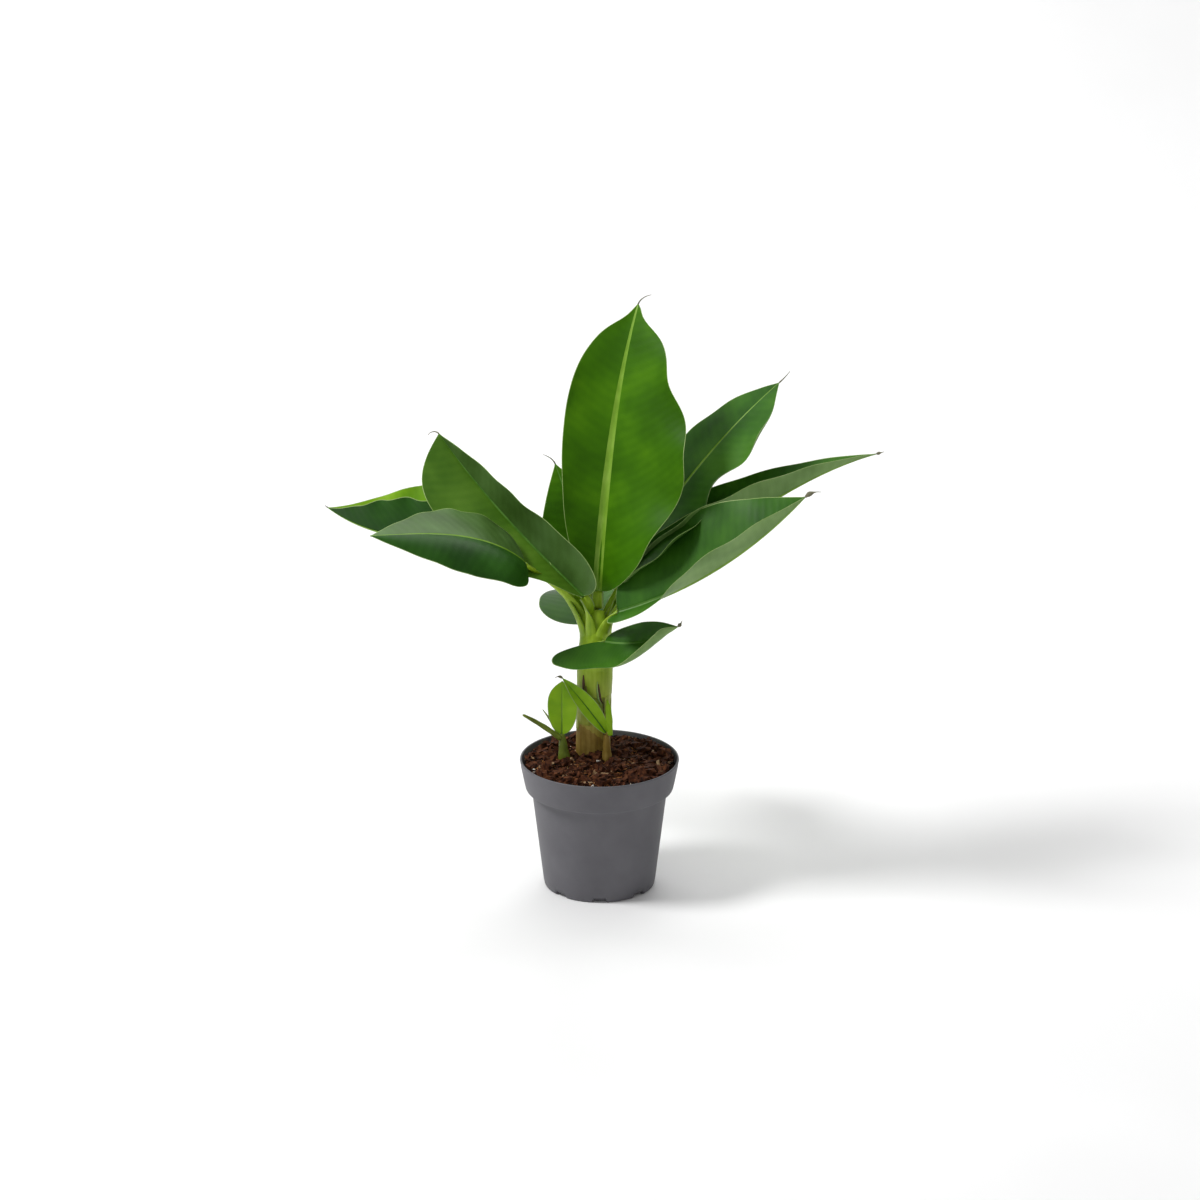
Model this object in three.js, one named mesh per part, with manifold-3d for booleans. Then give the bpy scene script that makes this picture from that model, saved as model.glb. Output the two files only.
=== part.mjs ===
import * as THREE from 'three';
import { mergeVertices } from 'three/addons/utils/BufferGeometryUtils.js';
import Module from 'manifold-3d';

// Young banana plant in a round nursery pot.
// Millimetres, +Z up, origin at the centre of the pot's flat underside.

const wasm = await Module();
wasm.setup();

const clearance = 0.3;
// edges shorter than this, left where one piece is cut clear of another, are merged away
const sliver = 0.02;

// pot
const potHeight = 102;
const footRadius = 42.4;
const bodyTopRadius = 51.6;
const bodyTopHeight = 77;
const lipLowRadius = 56.4;
const lipLowHeight = 79;
const rimRadius = 60.5;
const wall = 1.6;
const floorThickness = 2;
const footEdge = 1.2;
const drainCount = 8;
const drainWidth = 11;
const drainHeight = 3.4;
const drainDepth = 7;
const rimEdge = 1;
const rimEdgeInset = 0.5;
const wallStep = 1.4;
const roundSegments = 30;

// soil, filling the pot up to a few millimetres below the rim, a little higher round the stem
const soilLevel = 97;
const soilCrown = 4.5;
const soilShoulder = 1.8;
const soilShoulderRise = 0.6;
const soilShoulderPlace = 0.5;

// pseudostem, one row per level: height, centre x, centre y, half width in x, half width in y
const stemSegments = 16;
const stemLevels = [
  { z: 92, x: -4.5, y: 12, rx: 13, ry: 13 },
  { z: 104, x: -4.5, y: 12, rx: 12.8, ry: 12.8 },
  { z: 122, x: -4.5, y: 12, rx: 12.6, ry: 12.4 },
  { z: 147, x: -4, y: 12, rx: 12.6, ry: 12 },
  { z: 169, x: -3, y: 12, rx: 12.8, ry: 11.8 },
  { z: 187, x: -2, y: 12, rx: 13.4, ry: 11.4 },
  { z: 195, x: -1.5, y: 12.5, rx: 11, ry: 9.5 },
];

// blades
const bladeThickness = 1;
const bladeStations = 11;
const bladeCells = 3;
const midribSteps = 4;
const stationPower = 1.25;
const baseHalfWidth = 1.6;
const tipHalfWidth = 0.9;
const threadStations = 2;

// petioles
const petioleStations = 7;
const petioleSides = 8;
const petioleFlatten = 0.86;
const petioleTaper = 0.8;

// shoots
const shootSides = 8;
const shootFlatten = 0.95;
const uprightLimit = 0.2;

const deg = Math.PI / 180;

const clamp01 = (x) => Math.min(1, Math.max(0, x));

const smooth = (a, b, x) => {
  const t = clamp01((x - a) / (b - a));
  return t * t * (3 - 2 * t);
};

// base, middle and tip value blended along the blade
const blend = (values, t) => {
  const [base, middle, tip] = values;
  if (t < 0.5) {
    return base + (middle - base) * smooth(0, 0.5, t);
  }
  return middle + (tip - middle) * smooth(0.5, 1, t);
};

// parabola through the base, middle and tip value
const arc = (values, t) => {
  const [base, middle, tip] = values;
  return base * (1 - t) * (1 - 2 * t) + middle * 4 * t * (1 - t) + tip * t * (2 * t - 1);
};

// half of a blade: half width, how soon it rounds out, where it starts to narrow and how,
// fold up from flat in degrees, curl across the width, basal lobe, and narrow places (place, spread, depth)
const halfDefaults = {
  half: 30,
  round: 0.4,
  wide: 0.45,
  taper: 2,
  point: 1,
  fold: [40, 20, 10],
  curl: [0, 0, 0],
  lobe: 0,
  lobePower: 1.5,
  waists: [],
};

const bladeDefaults = {
  az: 0,
  rise: [40, 30, 20],
  sway: 0,
  length: 100,
  left: { ...halfDefaults },
  right: { ...halfDefaults },
  roll: 0,
  lobeEnd: 0.3,
  thread: 6,
  threadDrop: 30,
};

// the true leaves: az is the heading from +X towards +Y, rise is the climb of the midrib
// at base, middle and tip, left and right are the two halves seen from above along the heading
const leaves = {
  leaf_centre: {
    start: [-1, 20, 229], az: 70, rise: [80, 74, 62], sway: -14, length: 219, thread: 13, threadDrop: 50,
    left: { half: 38, round: 0.65, wide: 0.6, taper: 2.6, fold: [32, 14, 8], curl: [24, 24, 24] },
    right: {
      half: 71, round: 0.62, wide: 0.4, taper: 1.7, point: 0.75, fold: [35, 10, 5], curl: [-8, -8, -8],
      waists: [[0.97, 0.05, 0.5], [0.74, 0.07, 0.13]],
    },
    petiole: { z: 168, spread: 2, base: 6, end: 4.2 },
  },
  leaf_centre_back: {
    start: [-9, 26, 227], az: 128, rise: [78, 66, 56], length: 100, roll: 40, thread: 12, threadDrop: 40,
    left: { half: 28, round: 0.5, wide: 0.4, taper: 1.6, fold: [20, 0, 0] },
    right: { half: 24, round: 0.5, wide: 0.4, taper: 1.6, fold: [30, 20, 10] },
    petiole: { z: 168, spread: 7, base: 5, end: 2.8 },
  },
  leaf_right_upper: {
    start: [15, 24, 232], az: 20, rise: [60, 49, 37], length: 196, thread: 12, threadDrop: -10,
    left: { half: 37, round: 0.45, wide: 0.45, taper: 3, fold: [40, 12, 10] },
    right: {
      half: 50, round: 0.4, wide: 0.45, taper: 3.2, fold: [20, -14, 0], curl: [-10, -10, -10],
      waists: [[0.54, 0.16, 0.42]],
    },
    petiole: { z: 166, spread: 7, base: 5.5, end: 3.2 },
  },
  leaf_right_long: {
    start: [20, 18, 227], az: 6, rise: [28, 33, 14], length: 217, thread: 5, threadDrop: 0,
    left: { half: 43, round: 0.4, wide: 0.3, taper: 1.2, fold: [50, 46, 30] },
    right: { half: 36, round: 0.4, wide: 0.35, taper: 1.3, fold: [70, 62, 50] },
    petiole: { z: 160, spread: 8, base: 5.5, end: 3.2 },
  },
  leaf_right_near: {
    start: [14, -2, 220], az: -14, rise: [20, 36, 50], length: 176, thread: 12, threadDrop: 50, lobeEnd: 0.25,
    left: { half: 50, round: 0.4, fold: [62, 58, 44], lobe: 6 },
    right: { half: 36, round: 0.7, fold: [-12, 30, 36], lobe: 50, lobePower: 1 },
    petiole: { z: 150, spread: 8, base: 6.5, end: 3.6 },
  },
  leaf_left_upper: {
    start: [-12, 10, 228], az: 145, rise: [33, 37, 46], length: 171, roll: 40, thread: 10, threadDrop: 80,
    left: { half: 43, round: 0.75, wide: 0.6, taper: 3.6, fold: [54, 10, 10] },
    right: { half: 34, round: 0.3, wide: 0.25, taper: 2, fold: [55, 72, 60], lobe: 26 },
    petiole: { z: 158, spread: 8, base: 6.5, end: 3.4 },
  },
  leaf_left_near: {
    start: [-56, 8, 256], az: 200, rise: [44, 12, 4], length: 128, thread: 0, lobeEnd: 0.4,
    left: { half: 42, round: 0.25, wide: 0.4, taper: 1.5, fold: [5, 0, 0], curl: [-60, -60, -60], lobe: 16 },
    right: { half: 40, round: 0.35, wide: 0.4, taper: 1.5, fold: [20, 14, 10] },
    petiole: { z: 152, spread: 8, base: 5.5, end: 2.8 },
  },
  leaf_left_long: {
    start: [-56, 54, 243], az: 155, rise: [14, -2, 30], length: 174, thread: 3, threadDrop: 0,
    left: { half: 41, round: 0.35, wide: 0.5, taper: 2, fold: [60, 68, 60] },
    right: { half: 45, round: 0.2, wide: 0.4, taper: 2, fold: [85, 68, 60] },
    petiole: { z: 160, spread: 8, base: 5, end: 2.8 },
  },
  leaf_back: {
    start: [-6, 32, 199], az: 88, rise: [18, -8, -32], length: 130, thread: 5, threadDrop: 30, lobeEnd: 0.35,
    left: { half: 42, round: 0.3, wide: 0.35, taper: 1.7, fold: [-5, -5, -10], lobe: 8 },
    right: { half: 40, round: 0.3, wide: 0.35, taper: 1.7, fold: [20, 15, 5], lobe: 6 },
    petiole: { z: 150, spread: 8, base: 6, end: 3 },
  },
  leaf_low_front: {
    start: [4, -4, 197], az: -12, rise: [-5, 15, 42], length: 60, thread: 5, threadDrop: -30, lobeEnd: 0.8,
    left: { half: 22, round: 0.5, wide: 0.45, taper: 2, fold: [20, 25, 30], lobe: 2 },
    right: {
      half: 38, round: 0.35, wide: 0.45, taper: 2, fold: [0, -50, 10], curl: [-40, 45, 60],
      lobe: 66, lobePower: 0.8,
    },
    petiole: { z: 172, spread: 10.5, base: 3, end: 2.2 },
  },
};

// suckers: young shoots from the same root, beside the stem
const suckerBlades = {
  sucker_left_blade: {
    start: [-28.5, -2, 122], az: 80, rise: [88, 88, 84], length: 42, thread: 0,
    left: { half: 11, round: 0.55, wide: 0.5, taper: 3, fold: [20, 5, 0] },
    right: { half: 13, round: 0.55, wide: 0.5, taper: 3, fold: [20, 15, 10] },
  },
  sucker_right_blade: {
    start: [5, -5, 124], az: 178, rise: [56, 53, 50], length: 55, roll: 72, thread: 6, threadDrop: 50,
    left: { half: 7, round: 0.45, wide: 0.4, taper: 2, fold: [40, 30, 20] },
    right: { half: 9, round: 0.45, wide: 0.4, taper: 2, fold: [40, 30, 20] },
  },
};

// round shoots and stubs: points along the axis with a radius each
const shoots = {
  sucker_left_stem: { from: [-26, -3, 92], to: [-28.3, -2, 121], radii: [5, 4.6, 3.2, 2], lean: 0 },
  sucker_left_spike_long: { from: [-33, -4, 124], to: [-58, -6, 140], radii: [1.9, 1.7, 1.2, 0.6], lean: 3 },
  sucker_left_spike_short: { from: [-34, 0, 126], to: [-43, 0, 141], radii: [1.2, 1, 0.7, 0.4], lean: 1 },
  sucker_right_stem: { from: [6, -5, 92], to: [5.2, -5, 123], radii: [4.6, 4, 3, 2], lean: 0 },
  sucker_right_roll: { from: [8.5, -7, 126], to: [6, -6, 151], radii: [1.6, 2.6, 2.4, 0.8], lean: 1.5 },
};

const plasticGrey = new THREE.MeshStandardMaterial({ color: 0x6a6a6e, roughness: 0.6, metalness: 0 });
const soilBrown = new THREE.MeshStandardMaterial({ color: 0x3c271a, roughness: 0.95, metalness: 0 });
const stemGreen = new THREE.MeshStandardMaterial({ color: 0x8c9040, roughness: 0.55, metalness: 0 });
const petioleGreen = new THREE.MeshStandardMaterial({ color: 0x86a336, roughness: 0.5, metalness: 0 });
const leafGreen = new THREE.MeshStandardMaterial({ color: 0x3c7a14, roughness: 0.4, metalness: 0 });
const suckerGreen = new THREE.MeshStandardMaterial({ color: 0x74a01c, roughness: 0.45, metalness: 0 });

const toManifold = (geometry) => {
  const bare = geometry.clone();
  bare.deleteAttribute('normal');
  bare.deleteAttribute('uv');
  const welded = mergeVertices(bare, 1e-4);
  return new wasm.Manifold(new wasm.Mesh({
    numProp: 3,
    vertProperties: new Float32Array(welded.attributes.position.array),
    triVerts: new Uint32Array(welded.index.array),
  }));
};

const toGeometry = (solid) => {
  const mesh = solid.getMesh();
  const geometry = new THREE.BufferGeometry();
  const positions = new Float32Array(mesh.numVert * 3);
  for (let i = 0; i < mesh.numVert; i += 1) {
    for (let c = 0; c < 3; c += 1) {
      positions[i * 3 + c] = mesh.vertProperties[i * mesh.numProp + c];
    }
  }
  geometry.setAttribute('position', new THREE.BufferAttribute(positions, 3));
  geometry.setIndex(Array.from(mesh.triVerts));
  geometry.computeVertexNormals();
  return geometry;
};

const largestPiece = (solid) => {
  const pieces = solid.decompose();
  let best = pieces[0];
  for (const piece of pieces) {
    if (piece.volume() > best.volume()) {
      best = piece;
    }
  }
  return best;
};

// closed solid between two grids of points that have the same rows and columns
const gridSolid = (upper, lower) => {
  const rows = upper.length;
  const columns = upper[0].length;
  const positions = [];
  for (const grid of [upper, lower]) {
    for (const row of grid) {
      for (const p of row) {
        positions.push(p.x, p.y, p.z);
      }
    }
  }
  const shift = rows * columns;
  const at = (i, j) => i * columns + j;
  const index = [];
  const quad = (a, b, c, d) => index.push(a, b, c, a, c, d);
  for (let i = 0; i < rows - 1; i += 1) {
    for (let j = 0; j < columns - 1; j += 1) {
      quad(at(i, j), at(i, j + 1), at(i + 1, j + 1), at(i + 1, j));
      quad(shift + at(i, j), shift + at(i + 1, j), shift + at(i + 1, j + 1), shift + at(i, j + 1));
    }
  }
  for (let i = 0; i < rows - 1; i += 1) {
    quad(at(i, 0), at(i + 1, 0), shift + at(i + 1, 0), shift + at(i, 0));
    const last = columns - 1;
    quad(at(i + 1, last), at(i, last), shift + at(i, last), shift + at(i + 1, last));
  }
  for (let j = 0; j < columns - 1; j += 1) {
    quad(at(0, j + 1), at(0, j), shift + at(0, j), shift + at(0, j + 1));
    const last = rows - 1;
    quad(at(last, j), at(last, j + 1), shift + at(last, j + 1), shift + at(last, j));
  }
  const geometry = new THREE.BufferGeometry();
  geometry.setAttribute('position', new THREE.Float32BufferAttribute(positions, 3));
  geometry.setIndex(index);
  return geometry;
};

// heading, side and face directions at one place along a midrib
const frameAt = (blade, t) => {
  const climb = arc(blade.rise, t) * deg;
  const heading = (blade.az + blade.sway * t) * deg;
  const along = new THREE.Vector3(
    Math.cos(climb) * Math.cos(heading),
    Math.cos(climb) * Math.sin(heading),
    Math.sin(climb),
  );
  const side = new THREE.Vector3(Math.sin(heading), -Math.cos(heading), 0);
  const face = new THREE.Vector3().crossVectors(side, along);
  const roll = blade.roll * deg;
  const rolledSide = side.clone().multiplyScalar(Math.cos(roll)).addScaledVector(face, Math.sin(roll));
  const rolledFace = side.clone().multiplyScalar(-Math.sin(roll)).addScaledVector(face, Math.cos(roll));
  return { along, side: rolledSide, face: rolledFace };
};

const baseRounding = (half, t) => Math.sqrt(clamp01(1 - (1 - clamp01(t / half.round)) ** 2));

const halfWidth = (half, t) => {
  const s = clamp01((t - half.wide) / (1 - half.wide));
  let width = half.half * baseRounding(half, t) * (1 - s ** half.taper) ** half.point;
  for (const [place, spread, depth] of half.waists) {
    width *= 1 - depth * Math.exp(-(((t - place) / spread) ** 2));
  }
  return width;
};

const completeBlade = (given) => ({
  ...bladeDefaults,
  ...given,
  left: { ...bladeDefaults.left, ...given.left },
  right: { ...bladeDefaults.right, ...given.right },
});

// points of one half at one station, from the midrib out to the margin
const halfRow = (blade, half, sign, t, centre, grow) => {
  const frame = frameAt(blade, t);
  const widest = Math.max(halfWidth(half, t), t < 0.5 ? baseHalfWidth : tipHalfWidth) + grow;
  const fold = blend(half.fold, t);
  const curl = blend(half.curl, t);
  const pull = half.lobe * baseRounding(half, t) * clamp01(1 - t / blade.lobeEnd);
  const row = [centre.clone()];
  const walker = centre.clone();
  for (let j = 1; j <= bladeCells; j += 1) {
    const outer = j / bladeCells;
    const inner = (j - 1) / bladeCells;
    const angle = (fold + curl * (outer + inner) / 2) * deg;
    const step = widest * (outer - inner);
    walker.addScaledVector(frame.side, sign * Math.cos(angle) * step);
    walker.addScaledVector(frame.face, Math.sin(angle) * step);
    row.push(walker.clone().addScaledVector(frame.along, -pull * outer ** half.lobePower));
  }
  return row;
};

const bladeSolid = (given, grow) => {
  const blade = completeBlade(given);
  const centre = new THREE.Vector3(...blade.start);
  let before = 0;
  const rows = [];
  for (let i = 0; i <= bladeStations; i += 1) {
    const t = (i / bladeStations) ** stationPower;
    for (let k = 0; k < midribSteps; k += 1) {
      const mid = before + (t - before) * (k + 0.5) / midribSteps;
      centre.addScaledVector(frameAt(blade, mid).along, blade.length * (t - before) / midribSteps);
    }
    before = t;
    const left = halfRow(blade, blade.left, -1, t, centre, grow).reverse();
    const right = halfRow(blade, blade.right, 1, t, centre, grow).slice(1);
    rows.push([...left, ...right]);
  }
  for (let k = 1; k <= threadStations && blade.thread > 0; k += 1) {
    const drop = blade.threadDrop * (k - 0.5) / threadStations;
    const tail = { ...blade, rise: blade.rise.map((angle) => angle - drop) };
    centre.addScaledVector(frameAt(tail, 1).along, blade.thread / threadStations);
    const narrow = { ...tail, left: { ...blade.left, lobe: 0 }, right: { ...blade.right, lobe: 0 } };
    const left = halfRow(narrow, narrow.left, -1, 1, centre, grow).reverse();
    const right = halfRow(narrow, narrow.right, 1, 1, centre, grow).slice(1);
    rows.push([...left, ...right]);
  }
  const columns = rows[0].length;
  const upper = [];
  const lower = [];
  for (let i = 0; i < rows.length; i += 1) {
    upper.push([]);
    lower.push([]);
    for (let j = 0; j < columns; j += 1) {
      const back = rows[Math.max(0, i - 1)][j];
      const ahead = rows[Math.min(rows.length - 1, i + 1)][j];
      const toLeft = rows[i][Math.max(0, j - 1)];
      const toRight = rows[i][Math.min(columns - 1, j + 1)];
      const lengthways = ahead.clone().sub(back);
      const across = toRight.clone().sub(toLeft);
      const normal = across.cross(lengthways).normalize();
      const half = bladeThickness / 2 + grow;
      upper[i].push(rows[i][j].clone().addScaledVector(normal, half));
      lower[i].push(rows[i][j].clone().addScaledVector(normal, -half));
    }
  }
  return toManifold(gridSolid(upper, lower));
};

// closed tube through points, each with a direction, a radius and a flattening
const tubeSolid = (points, radii, sides, flatten, grow) => {
  const rings = [];
  const count = points.length;
  for (let i = 0; i < count; i += 1) {
    const ahead = points[Math.min(count - 1, i + 1)].clone().sub(points[Math.max(0, i - 1)]).normalize();
    const across = new THREE.Vector3(0, 1, 0).cross(ahead);
    if (across.length() < uprightLimit) {
      across.set(1, 0, 0);
    }
    across.normalize();
    const out = ahead.clone().cross(across).normalize();
    const ring = [];
    for (let k = 0; k < sides; k += 1) {
      const angle = 2 * Math.PI * k / sides;
      const r = radii[i] + grow;
      ring.push(points[i].clone()
        .addScaledVector(across, Math.cos(angle) * r)
        .addScaledVector(out, Math.sin(angle) * r * flatten));
    }
    rings.push(ring);
  }
  return ringSolid(rings);
};

const ringSolid = (rings) => {
  const sides = rings[0].length;
  const positions = [];
  const index = [];
  const sumOf = (ring) => ring.reduce((sum, p) => sum.add(p), new THREE.Vector3());
  const middleOf = (ring) => sumOf(ring).multiplyScalar(1 / sides);
  for (const ring of rings) {
    for (const p of ring) {
      positions.push(p.x, p.y, p.z);
    }
  }
  const first = middleOf(rings[0]);
  const last = middleOf(rings[rings.length - 1]);
  const capA = positions.length / 3;
  positions.push(first.x, first.y, first.z);
  positions.push(last.x, last.y, last.z);
  for (let i = 0; i < rings.length - 1; i += 1) {
    for (let k = 0; k < sides; k += 1) {
      const next = (k + 1) % sides;
      const a = i * sides + k;
      const b = i * sides + next;
      const c = (i + 1) * sides + next;
      const d = (i + 1) * sides + k;
      index.push(a, b, c, a, c, d);
    }
  }
  const top = (rings.length - 1) * sides;
  for (let k = 0; k < sides; k += 1) {
    const next = (k + 1) % sides;
    index.push(capA, next, k);
    index.push(capA + 1, top + k, top + next);
  }
  const geometry = new THREE.BufferGeometry();
  geometry.setAttribute('position', new THREE.Float32BufferAttribute(positions, 3));
  geometry.setIndex(index);
  return toManifold(geometry);
};

const hermite = (from, fromWay, to, toWay, count) => {
  const points = [];
  const pull = from.distanceTo(to);
  for (let i = 0; i < count; i += 1) {
    const t = i / (count - 1);
    const p = new THREE.Vector3();
    p.addScaledVector(from, 2 * t ** 3 - 3 * t ** 2 + 1);
    p.addScaledVector(fromWay, pull * (t ** 3 - 2 * t ** 2 + t));
    p.addScaledVector(to, -2 * t ** 3 + 3 * t ** 2);
    p.addScaledVector(toWay, pull * (t ** 3 - t ** 2));
    points.push(p);
  }
  return points;
};

const stemCentre = (z) => {
  for (let i = 0; i < stemLevels.length - 1; i += 1) {
    const a = stemLevels[i];
    const b = stemLevels[i + 1];
    if (z <= b.z) {
      const t = clamp01((z - a.z) / (b.z - a.z));
      return new THREE.Vector3(a.x + (b.x - a.x) * t, a.y + (b.y - a.y) * t, z);
    }
  }
  const top = stemLevels[stemLevels.length - 1];
  return new THREE.Vector3(top.x, top.y, z);
};

const petioleSolid = (given, grow) => {
  const blade = completeBlade(given);
  const { z, spread, base, end } = given.petiole;
  const to = new THREE.Vector3(...given.start);
  const bearing = Math.atan2(to.y - stemCentre(z).y, to.x - stemCentre(z).x);
  const outward = new THREE.Vector3(Math.cos(bearing), Math.sin(bearing), 0);
  const from = stemCentre(z).addScaledVector(outward, spread);
  const away = frameAt(blade, 0).along;
  const points = hermite(from, new THREE.Vector3(0, 0, 1), to, away, petioleStations);
  const radii = points.map((p, i) => base + (end - base) * (i / (petioleStations - 1)) ** petioleTaper);
  return tubeSolid(points, radii, petioleSides, petioleFlatten, grow);
};

const shootSolid = (shoot, grow) => {
  const from = new THREE.Vector3(...shoot.from);
  const to = new THREE.Vector3(...shoot.to);
  const count = shoot.radii.length;
  const points = shoot.radii.map((r, i) => {
    const t = i / (count - 1);
    const p = from.clone().lerp(to, t);
    p.z += shoot.lean * 4 * t * (1 - t);
    return p;
  });
  return tubeSolid(points, shoot.radii, shootSides, shootFlatten, grow);
};

const stemSolid = (grow) => {
  const rings = stemLevels.map((level) => {
    const ring = [];
    for (let k = 0; k < stemSegments; k += 1) {
      const angle = 2 * Math.PI * k / stemSegments;
      ring.push(new THREE.Vector3(
        level.x + Math.cos(angle) * (level.rx + grow),
        level.y + Math.sin(angle) * (level.ry + grow),
        level.z,
      ));
    }
    return ring;
  });
  return ringSolid(rings);
};

const lathe = (profile, segments) => {
  const points = profile.map(([r, z]) => new THREE.Vector2(r, z));
  const geometry = new THREE.LatheGeometry(points, segments);
  geometry.rotateX(Math.PI / 2);
  return toManifold(geometry);
};

// outer radius of the tapered pot body at one height
const bodyRadius = (z) => footRadius + (bodyTopRadius - footRadius) * z / bodyTopHeight;

const potSolid = () => {
  const inner = bodyRadius(floorThickness) - wall;
  let pot = lathe([
    [0, 0],
    [footRadius - footEdge, 0],
    [footRadius, footEdge],
    [bodyTopRadius, bodyTopHeight],
    [lipLowRadius, lipLowHeight],
    [rimRadius, potHeight - rimEdge],
    [rimRadius - rimEdgeInset, potHeight],
    [rimRadius - wall, potHeight],
    [rimRadius - wall - rimEdgeInset, potHeight - rimEdge],
    [lipLowRadius - wall, lipLowHeight + wallStep],
    [bodyTopRadius - wall, bodyTopHeight + wallStep],
    [inner, floorThickness],
    [0, floorThickness],
  ], roundSegments);
  for (let i = 0; i < drainCount; i += 1) {
    const notch = new THREE.BoxGeometry(drainDepth * 2, drainWidth, drainHeight * 2);
    notch.translate(footRadius, 0, 0);
    notch.rotateZ(-Math.PI / 2 + i * 2 * Math.PI / drainCount);
    pot = pot.subtract(toManifold(notch));
  }
  return pot;
};

const soilSolid = () => {
  const gap = wall + clearance;
  const bottom = floorThickness + drainHeight;
  return lathe([
    [0, bottom],
    [bodyRadius(bottom) - gap, bottom],
    [bodyTopRadius - gap, bodyTopHeight + soilShoulder],
    [lipLowRadius - gap, lipLowHeight + soilShoulder],
    [rimRadius - gap - wallStep, soilLevel],
    [rimRadius * soilShoulderPlace, soilLevel + soilCrown * soilShoulderRise],
    [0, soilLevel + soilCrown],
  ], roundSegments);
};

const plant = new THREE.Group();
plant.name = 'potted_banana_plant';

const addPart = (name, solid, material) => {
  const mesh = new THREE.Mesh(toGeometry(solid), material);
  mesh.name = name;
  plant.add(mesh);
};

addPart('pot', potSolid(), plasticGrey);

let soil = soilSolid().subtract(stemSolid(clearance));
for (const name of ['sucker_left_stem', 'sucker_right_stem']) {
  soil = soil.subtract(shootSolid(shoots[name], clearance));
}
addPart('soil', largestPiece(soil), soilBrown);
addPart('pseudostem', stemSolid(0), stemGreen);

// every later piece is cut clear of the ones placed before it
const placed = [{ name: 'pseudostem', solid: stemSolid(0), grown: stemSolid(clearance) }];
const placeClear = (name, make, material) => {
  let solid = make(0);
  for (const other of placed) {
    if (other.name !== name) {
      solid = solid.subtract(other.grown);
      if (solid.intersect(other.solid).volume() > 0) {
        solid = solid.subtract(other.solid);
      }
    }
  }
  solid = largestPiece(solid.simplify(sliver));
  placed.push({ name, solid, grown: make(clearance) });
  addPart(name, solid, material);
};

for (const [name, blade] of Object.entries(leaves)) {
  placeClear(name, (grow) => bladeSolid(blade, grow), leafGreen);
}
for (const [name, blade] of Object.entries(leaves)) {
  placeClear(name.replace('leaf', 'petiole'), (grow) => petioleSolid(blade, grow), petioleGreen);
}
for (const [name, blade] of Object.entries(suckerBlades)) {
  placeClear(name, (grow) => bladeSolid(blade, grow), suckerGreen);
}
for (const [name, shoot] of Object.entries(shoots)) {
  placeClear(name, (grow) => shootSolid(shoot, grow), suckerGreen);
}

export default plant;
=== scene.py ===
import bpy
import math
import mathutils
import numpy as np
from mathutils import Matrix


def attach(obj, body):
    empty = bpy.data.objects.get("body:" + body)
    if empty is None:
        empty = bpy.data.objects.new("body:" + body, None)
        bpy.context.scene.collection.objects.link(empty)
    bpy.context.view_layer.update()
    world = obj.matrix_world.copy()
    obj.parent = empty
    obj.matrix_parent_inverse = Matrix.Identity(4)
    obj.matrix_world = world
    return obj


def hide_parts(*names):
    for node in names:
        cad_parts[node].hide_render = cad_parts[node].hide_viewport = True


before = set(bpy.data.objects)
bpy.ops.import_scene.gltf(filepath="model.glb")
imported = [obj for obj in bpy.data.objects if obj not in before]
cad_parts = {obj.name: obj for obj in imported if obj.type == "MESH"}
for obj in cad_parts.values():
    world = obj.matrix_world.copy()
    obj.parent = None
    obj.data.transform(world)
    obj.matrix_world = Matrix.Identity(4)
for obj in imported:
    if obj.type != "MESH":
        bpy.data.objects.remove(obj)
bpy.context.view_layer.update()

# young banana plant in a nursery pot, metres, +Z up, origin under the middle of the pot
mm = 0.001
rng = np.random.default_rng(41)


def linear(hexColour):
    values = [int(hexColour[i:i + 2], 16) / 255 for i in (0, 2, 4)]
    return tuple(v / 12.92 if v <= 0.04045 else ((v + 0.055) / 1.055) ** 2.4 for v in values) + (1.0,)


# adds one node with its settings, its links and the stops of its colour band
def add(tree, kind, settings=None, links=None, stops=()):
    n = tree.nodes.new(kind)
    for key, value in (settings or {}).items():
        if isinstance(key, str) and key not in n.inputs:
            setattr(n, key, value)
        else:
            n.inputs[key].default_value = value
    for key, source in (links or {}).items():
        tree.links.new(source, n.inputs[key])
    if stops:
        band = n.color_ramp.elements
        while len(band) < len(stops):
            band.new(0.5)
        for element, (place, colour) in zip(band, stops):
            element.position = place
            element.color = linear(colour)
    return n


def newMaterial(name):
    m = bpy.data.materials.new(name)
    m.use_nodes = True
    m.node_tree.nodes.clear()
    return m, m.node_tree


def finishSurface(tree, colour, rough, height, bumpMm, settings=None):
    bump = add(tree, "ShaderNodeBump", {"Strength": 1.0, "Distance": bumpMm * mm}, {"Height": height})
    values = {"Metallic": 0.0, "IOR": 1.45}
    values.update(settings or {})
    shader = add(tree, "ShaderNodeBsdfPrincipled", values,
                 {"Base Color": colour, "Roughness": rough, "Normal": bump.outputs["Normal"]})
    add(tree, "ShaderNodeOutputMaterial", {}, {"Surface": shader.outputs["BSDF"]})


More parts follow.
